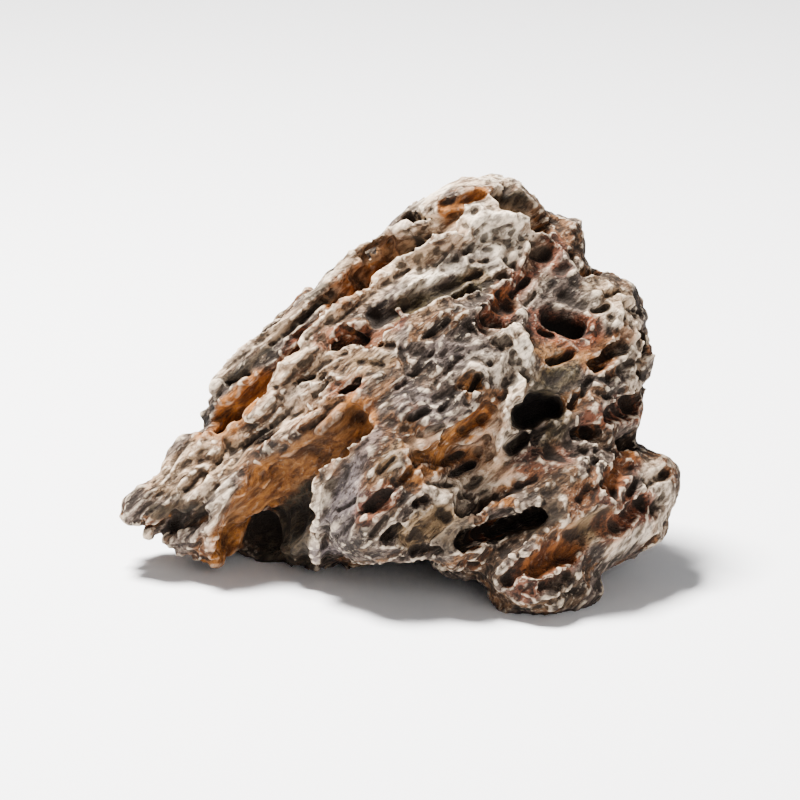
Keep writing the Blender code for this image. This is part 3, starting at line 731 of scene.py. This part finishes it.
def skin_of(stone):
    return BVHTree.FromObject(stone, bpy.context.evaluated_depsgraph_get())


def swell(stone, tree):
    """Swells the fused lumps and raises their ridges."""
    remesh(stone, SKIN_VOXEL, SKIN_SMOOTHING)
    points = vertices_of(stone)
    points += swelling(points, SKIN_SWELLS)[:, None] * MM * normals_of(stone)
    for face in (*FACES, *chips(tree)):
        break_off(points, face)
    for path, width, height in seen_paths(tree, RIDGES):
        raise_ridge(points, path, width, height)
    move_vertices(stone, points)


def hollow_out(stone, tree):
    points = vertices_of(stone)
    for kind in STREWN:
        for path, width, depth in strewn_hollows(tree, kind):
            carve(points, path, width, depth)
    for path, width, depth in seen_paths(tree, HOLLOWS):
        carve(points, path, width, depth)
    move_vertices(stone, points)
    remesh(stone, SKIN_VOXEL, CARVED_SMOOTHING)


def depths_below(tree, points):
    """How far each point is below the nearest place of the tree's skin."""
    depths = []
    for point in points.tolist():
        spot, outward, _, _ = tree.find_nearest(point)
        depths.append((spot - Vector(point)).dot(outward))
    return np.array(depths)


def splitting(points):
    """How far the clay has split along its layers at each point, from 0 to 1."""
    return eased(points[:, 0], *SPLIT)


def ledges(points, layers):
    """The height of the layers' ledges at each point, in millimetres."""
    level = points @ np.array(STACKED) / MM + layers.wander * swelling(points, LAYER_SWELLS)
    place = level / layers.thickness
    top = place - np.floor(place)
    split = splitting(points)
    patches = np.maximum(eased(waves(points, LEDGE_SWELL), *LEDGE_PATCHES), split)
    height = layers.ledge + (layers.split_ledge - layers.ledge) * split
    return np.minimum(top, LEDGE_SLOPE * (1 - top)) * patches * height


def scooped(points, scoops):
    """How deep in its scoop each point is, as a share of the scoops' depth, and the scoop's own random number."""
    noise.seed_set(SCOOP_SEED)
    shares = []
    numbers = []
    for place in noise_places(points, scoops):
        bent = Vector(place) + scoops.bend * noise.noise_vector(place)
        distances, middles = noise.voronoi(bent)
        shares.append((distances[1] - distances[0]) / SCOOP_RIM)
        numbers.append(noise.cell(middles[0] * SCOOP_SPREAD) * 0.5 + 0.5)
    return np.sqrt(np.clip(shares, 0, 1)), np.array(numbers)


def scoop_depths(points):
    """How deep each point is in its scoops, in millimetres."""
    split = splitting(points)
    patches = SCOOP_LEAST + (1 - SCOOP_LEAST) * eased(waves(points, SCOOP_SWELL), *SCOOP_PATCHES)
    depth = 0
    for blunt, long in zip(SCOOPS, SPLIT_SCOOPS):
        depth += blunt.depth * (scooped(points, blunt)[0] - SCOOP_FILL) * (1 - split)
        depth += long.depth * (scooped(points, long)[0] - SCOOP_FILL) * split
    return depth * patches


def roughen(stone, open_skin):
    """Adds the relief that is too small for the solid, and less of it inside the hollows."""
    tree = skin_of(stone)
    points = vertices_of(stone)
    relief = sum(ledges(points, layers) for layers in LAYERS) + swelling(points, STRANDS) - scoop_depths(points)
    relief *= eased(depths_below(open_skin, points), *RELIEF_DEPTHS) * (1 - RELIEF_LEAST) + RELIEF_LEAST
    for line, width in CALMS:
        chosen, aside, _, _ = beside(points, seen_path(tree, line), width * MM)
        left = eased(2 * aside / (width * MM), *CALM_EDGE) * (1 - CALM_RELIEF) + CALM_RELIEF
        relief[chosen] *= left
    points += relief[:, None] * MM * normals_of(stone)
    for path, width, height in seen_paths(tree, RIMS, FINE_STEP):
        raise_ridge(points, path, width, height)
    for kind in FINE_STREWN:
        for path, width, depth in strewn_hollows(tree, kind):
            if depths_below(open_skin, path[0]).max() < FINE_DEPTH:
                scratch(points, path, width, depth)
    for path, width, depth in seen_paths(tree, CRACKS, FINE_STEP):
        scratch(points, path, width, depth)
    move_vertices(stone, points)
    remesh(stone, SKIN_VOXEL, 0)


def drop_crumbs(stone):
    """Keeps the largest body, without the chips that the carving cut loose."""
    mesh = bmesh.new()
    mesh.from_mesh(stone.data)
    left = set(mesh.verts)
    bodies = []
    while left:
        body = {left.pop()}
        rim = list(body)
        while rim:
            vertex = rim.pop()
            found = {edge.other_vert(vertex) for edge in vertex.link_edges} & left
            left -= found
            body |= found
            rim += found
        bodies.append(body)
    bodies.sort(key=len)
    for crumb in bodies[:-1]:
        bmesh.ops.delete(mesh, geom=list(crumb), context="VERTS")
    mesh.to_mesh(stone.data)
    mesh.free()


def smoothed(values, edges, rounds):
    """The values averaged with their neighbours' over and over."""
    count = np.bincount(edges.ravel(), minlength=len(values)) + 1
    for _ in range(rounds):
        total = values.copy()
        for axis in range(values.shape[1]):
            total[:, axis] += np.bincount(edges[:, 0], values[edges[:, 1], axis], len(values))
            total[:, axis] += np.bincount(edges[:, 1], values[edges[:, 0], axis], len(values))
        values = total / count[:, None]
    return values


def draw_in_splinters(stone):
    """Sinks what stands far out of its surroundings back into them."""
    points = vertices_of(stone)
    edges = edges_of(stone)
    for _ in range(SPLINTER_PASSES):
        shift = smoothed(points, edges, SPLINTER_ROUNDS) - points
        points += eased(np.linalg.norm(shift, axis=1), *SPLINTER)[:, None] * shift
    move_vertices(stone, points)


def thin_out(stone):
    thin = stone.modifiers.new("thin", "DECIMATE")
    thin.ratio = min(1.0, TRIANGLES / (2 * len(stone.data.polygons)))
    apply_modifiers(stone)


def wear_feet(stone):
    """Flattens what is below the ground, and what is so little above it that wear has taken it."""
    points = vertices_of(stone)
    points[points[:, 2] < WEAR, 2] = 0
    move_vertices(stone, points)


def set_attribute(stone, name, values):
    attribute = stone.data.attributes.new(name, "FLOAT", "POINT")
    attribute.data.foreach_set("value", values.astype(np.float32))


def mark(stone, tree, open_skin):
    """Gives each vertex how far it stands out, its depth below the open skin, the random number of its scoop, and
    its share of each clay and of the painted shade."""
    points = vertices_of(stone)
    normals = normals_of(stone)
    edges = edges_of(stone)
    for name, rounds in BUMPS.items():
        set_attribute(stone, name, ((points - smoothed(points, edges, rounds)) * normals).sum(axis=1) / MM)
    set_attribute(stone, "depth", depths_below(open_skin, points) / MM)
    split = splitting(points)
    numbers = scooped(points, SCOOPS[0])[1] * (1 - split) + scooped(points, SPLIT_SCOOPS[0])[1] * split
    set_attribute(stone, "scoop", numbers)
    for clay, stains in STAINS_AND_SHADE.items():
        share = np.zeros(len(points))
        for line, width, purity in stains:
            chosen, aside, above, _ = beside(points, seen_path(tree, line), width * MM + STAIN_REACH)
            faded = eased(share_of_width(points[chosen], aside, width * MM), *STAIN_EDGE)
            share[chosen] = np.maximum(share[chosen], purity * (1 - faded) * (above > -STAIN_DEPTH))
        set_attribute(stone, clay, share)


def dragon_stone():
    stone = fused_lumps()
    tree = skin_of(stone)
    swell(stone, tree)
    open_skin = skin_of(stone)
    hollow_out(stone, tree)
    roughen(stone, open_skin)
    drop_crumbs(stone)
    draw_in_splinters(stone)
    thin_out(stone)
    mark(stone, tree, open_skin)
    stone.data.transform(STANDING)
    wear_feet(stone)
    stone.data.shade_smooth()
    return stone


class Nodes:
    """Adds shader nodes to a material, one call each, and gives back the output that is used."""

    def __init__(self, material):
        material.use_nodes = True
        self.tree = material.node_tree

    def add(self, kind, inputs, output=0, **settings):
        node = self.tree.nodes.new(kind)
        for name, value in settings.items():
            setattr(node, name, value)
        for key, value in inputs.items():
            if isinstance(value, bpy.types.NodeSocket):
                self.tree.links.new(value, node.inputs[key])
            else:
                node.inputs[key].default_value = value
        return node.outputs[output]

    def attribute(self, name):
        return self.add("ShaderNodeAttribute", {}, "Fac", attribute_name=name)

    def eased(self, value, low, high, start=0.0, end=1.0):
        """Goes smoothly from start to end as the value goes from low to high."""
        inputs = {"Value": value, "From Min": low, "From Max": high, "To Min": start, "To Max": end}
        return self.add("ShaderNodeMapRange", inputs, interpolation_type="SMOOTHSTEP")

    def times(self, first, second):
        return self.add("ShaderNodeMath", {0: first, 1: second}, operation="MULTIPLY", use_clamp=True)

    def mixed(self, share, first, second):
        return self.add("ShaderNodeMix", {"Factor": share, 6: first, 7: second}, 2, data_type="RGBA")

    def along_grain(self, stretch):
        """The place, drawn out along the grain."""
        grain = (STANDING.to_3x3() @ GRAIN).normalized()
        turn = grain.rotation_difference(Vector((1, 0, 0))).to_euler()
        place = self.add("ShaderNodeTexCoord", {}, "Object")
        turned = self.add("ShaderNodeMapping", {"Vector": place, "Rotation": turn})
        return self.add("ShaderNodeMapping", {"Vector": turned, "Scale": (1 / stretch, 1, 1)})

    def noise(self, size, stretch, detail, roughness):
        """Noise whose lumps are that many millimetres, drawn out along the grain."""
        inputs = {"Scale": 1 / (size * MM), "Detail": detail, "Roughness": roughness}
        return self.add("ShaderNodeTexNoise", {"Vector": self.along_grain(stretch), **inputs})


# What covers the clay: painted shade deep in the hollows, umber in flecks and painted shade in dents, and pale dust
# on rims and flecks.
DEPTH_SHADE = (0.006, 0.004, 0.003, 1)
# umber for the dark flecks, and the painted shade in dents
UMBER_AND_SHADE = (0.010, 0.006, 0.0035, 1)
PALE = (0.82, 0.66, 0.49, 1)

# The dark and the light tone of the two clays that the stone is mostly made of.
BROWN = ((0.013, 0.0075, 0.0045, 1), (0.095, 0.056, 0.033, 1))
GREY = ((0.016, 0.0110, 0.0085, 1), (0.108, 0.077, 0.060, 1))

# Those of each clay that stains mark, and of the painted shade, in the order in which they cover each other.
CLAYS_AND_SHADE = {
    "cream": ((0.19, 0.137, 0.095, 1), (0.84, 0.70, 0.54, 1)),
    "sand": ((0.075, 0.035, 0.016, 1), (0.48, 0.31, 0.18, 1)),
    "lilac": ((0.045, 0.036, 0.036, 1), (0.15, 0.120, 0.118, 1)),
    "olive": ((0.018, 0.013, 0.005, 1), (0.08, 0.058, 0.024, 1)),
    "tan": ((0.075, 0.045, 0.020, 1), (0.25, 0.16, 0.08, 1)),
    "ochre": ((0.090, 0.027, 0.004, 1), (0.34, 0.120, 0.018, 1)),
    # painted shade for recesses, cracks, pits and undersides
    "painted_shade": ((0.010, 0.0075, 0.0040, 1), (0.052, 0.038, 0.023, 1)),
    "red": ((0.040, 0.010, 0.004, 1), (0.15, 0.036, 0.011, 1)),
}


def clay_colour(nodes, stains, streaks, flecks):
    """Grey and brown clay by the scoop, with ochre and red scoops among them, and the stains and the painted shade
    over that.
    """
    scoop = nodes.attribute("scoop")
    tone = nodes.eased(streaks, 0.38, 0.62)

    def clay(tones):
        return nodes.mixed(tone, *tones)

    colour = nodes.mixed(nodes.eased(scoop, 0.45, 0.55), clay(GREY), clay(BROWN))
    inside = nodes.eased(nodes.attribute("depth"), 0.5, 3.0, 0.3, 1.0)
    for name, low, high, most in (("ochre", 0.70, 0.80, 0.6), ("red", 0.86, 0.94, 0.8)):
        chosen = nodes.times(inside, nodes.eased(scoop, low, high, 0.0, most))
        colour = nodes.mixed(chosen, colour, clay(CLAYS_AND_SHADE[name]))
    worn = nodes.eased(flecks, 0.30, 0.5, 0.6, 1.0)
    for name, tones in CLAYS_AND_SHADE.items():
        colour = nodes.mixed(nodes.times(stains[name], worn), colour, clay(tones))
    tinted = nodes.times(stains["cream"], nodes.eased(scoop, 0.45, 0.60, 0.0, 0.6))
    return nodes.mixed(tinted, colour, clay(CLAYS_AND_SHADE["sand"]))


def weathered_and_shaded(nodes, colour, stains, flecks):
    """That colour with umber flecks, pale dust, and painted shade in dents and deep hollows, and less of them where
    the stains say so.
    """
    depth = nodes.attribute("depth")
    edge = nodes.attribute("edge")
    dusty = nodes.eased(stains["cream"], 0.0, 0.7, 0.55, 0.9)
    for name, left in (("ochre", 0.4), ("olive", 0.4), ("tan", 0.3), ("painted_shade", 0.0)):
        dusty = nodes.times(dusty, nodes.eased(stains[name], 0.3, 0.8, 1.0, left))
    # how much of the painted shade in dents and deep hollows is left: less in the ochre
    shade_allowed = nodes.eased(stains["ochre"], 0.3, 0.8, 1.0, 0.3)
    # where the dark flecks and the painted shade of broad dents may go
    dirt_and_shade = nodes.times(nodes.eased(stains["cream"], 0.0, 0.8, 1.0, 0.45), shade_allowed)
    rim = nodes.times(nodes.eased(edge, 0.15, 0.38), nodes.eased(flecks, 0.36, 0.52, 0.5, 1.0))
    rim = nodes.times(rim, nodes.eased(depth, 2.0, 8.0, 1.0, 0.2))
    covers = (
        (UMBER_AND_SHADE, nodes.eased(flecks, 0.48, 0.40, 0.0, 0.75), dirt_and_shade),  # dark flecks
        (PALE, nodes.eased(flecks, 0.56, 0.66, 0.0, 0.35), dusty),  # pale flecks
        (PALE, rim, dusty),
        (UMBER_AND_SHADE, nodes.eased(edge, -0.04, -0.22, 0.0, 0.8), shade_allowed),  # painted shade in narrow dents
        (UMBER_AND_SHADE, nodes.eased(nodes.attribute("crest"), -0.3, -1.5, 0.0, 0.8), dirt_and_shade),  # painted shade in broad dents
        # painted shade deep in the hollows, darker the deeper a place lies below the open skin
        (DEPTH_SHADE, nodes.eased(depth, 8.0, 14.0), shade_allowed),
    )
    for cover, share, allowed in covers:
        colour = nodes.mixed(nodes.times(share, allowed), colour, cover)
    return colour


def rock():
    material = bpy.data.materials.new("dragon_stone")
    nodes = Nodes(material)
    stains = {name: nodes.attribute(name) for name in CLAYS_AND_SHADE}
    streaks = nodes.noise(size=3.0, stretch=4.0, detail=5, roughness=0.62)
    flecks = nodes.noise(size=1.1, stretch=2.6, detail=4, roughness=0.6)
    grit = nodes.noise(size=0.6, stretch=1.2, detail=3, roughness=0.6)
    colour = clay_colour(nodes, stains, streaks, flecks)
    colour = weathered_and_shaded(nodes, colour, stains, flecks)

    rough = nodes.add("ShaderNodeBump", {"Strength": 0.8, "Distance": 1.0 * MM, "Height": streaks})
    rough = nodes.add("ShaderNodeBump", {"Strength": 1.0, "Distance": 1.2 * MM, "Height": flecks, "Normal": rough})
    rough = nodes.add("ShaderNodeBump", {"Strength": 0.5, "Distance": 0.3 * MM, "Height": grit, "Normal": rough})
    surface = nodes.tree.nodes["Principled BSDF"]
    surface.inputs["Roughness"].default_value = 0.88
    surface.inputs["Specular IOR Level"].default_value = 0.2
    nodes.tree.links.new(colour, surface.inputs["Base Color"])
    nodes.tree.links.new(rough, surface.inputs["Normal"])
    return material


def plain(name, colour, roughness):
    material = bpy.data.materials.new(name)
    material.use_nodes = True
    surface = material.node_tree.nodes["Principled BSDF"]
    surface.inputs["Base Color"].default_value = colour
    surface.inputs["Roughness"].default_value = roughness
    return material


def pale_floor():
    mesh = bmesh.new()
    bmesh.ops.create_grid(mesh, x_segments=1, y_segments=1, size=4.0)
    floor = added_mesh("floor", mesh)
    floor.data.materials.append(plain("floor", (0.90, 0.91, 0.94, 1), roughness=0.6))


LIT_PLACE = Vector((0, 0, 0.05))  # what the lamps are turned to


def soft_box(name, place, size, power, colour):
    """A square lamp at that place, turned to the stone."""
    lamp = added(name, bpy.data.lights.new(name, "AREA"))
    lamp.data.size = size
    lamp.data.energy = power
    lamp.data.color = colour
    lamp.location = place
    lamp.rotation_euler = (LIT_PLACE - lamp.location).to_track_quat("-Z", "Y").to_euler()


def studio():
    world = bpy.data.worlds.new("studio")
    world.use_nodes = True
    sky = world.node_tree.nodes["Background"]
    sky.inputs["Color"].default_value = (0.92, 0.95, 1.0, 1)
    sky.inputs["Strength"].default_value = 0.25
    bpy.context.scene.world = world
    soft_box("key", Vector((-0.26, 0.14, 1.00)), size=0.3, power=85, colour=(1.0, 0.97, 0.93))
    soft_box("fill", Vector((0.50, -1.00, 0.50)), size=0.8, power=6, colour=(1.0, 0.98, 0.95))


def viewing_camera():
    camera = added("camera", bpy.data.cameras.new("camera"))
    upright = Matrix.Rotation(math.radians(90), 4, "X")
    camera.matrix_world = STANDING @ Matrix.Translation(VIEWER) @ upright
    camera.data.sensor_width = 36
    camera.data.lens = camera.data.sensor_width * -VIEWER.y / SHOWN_WIDTH
    camera.data.clip_start = 0.1
    bpy.context.scene.camera = camera


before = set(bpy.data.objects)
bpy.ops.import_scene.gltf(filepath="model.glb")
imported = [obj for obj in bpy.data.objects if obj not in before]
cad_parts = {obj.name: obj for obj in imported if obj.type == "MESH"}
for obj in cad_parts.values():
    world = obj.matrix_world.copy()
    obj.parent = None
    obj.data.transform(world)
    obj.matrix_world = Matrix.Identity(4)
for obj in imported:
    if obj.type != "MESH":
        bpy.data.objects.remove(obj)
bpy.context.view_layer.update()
stone = dragon_stone()
stone.data.materials.append(rock())
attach(stone, "root")
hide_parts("stone")
pale_floor()
studio()
viewing_camera()
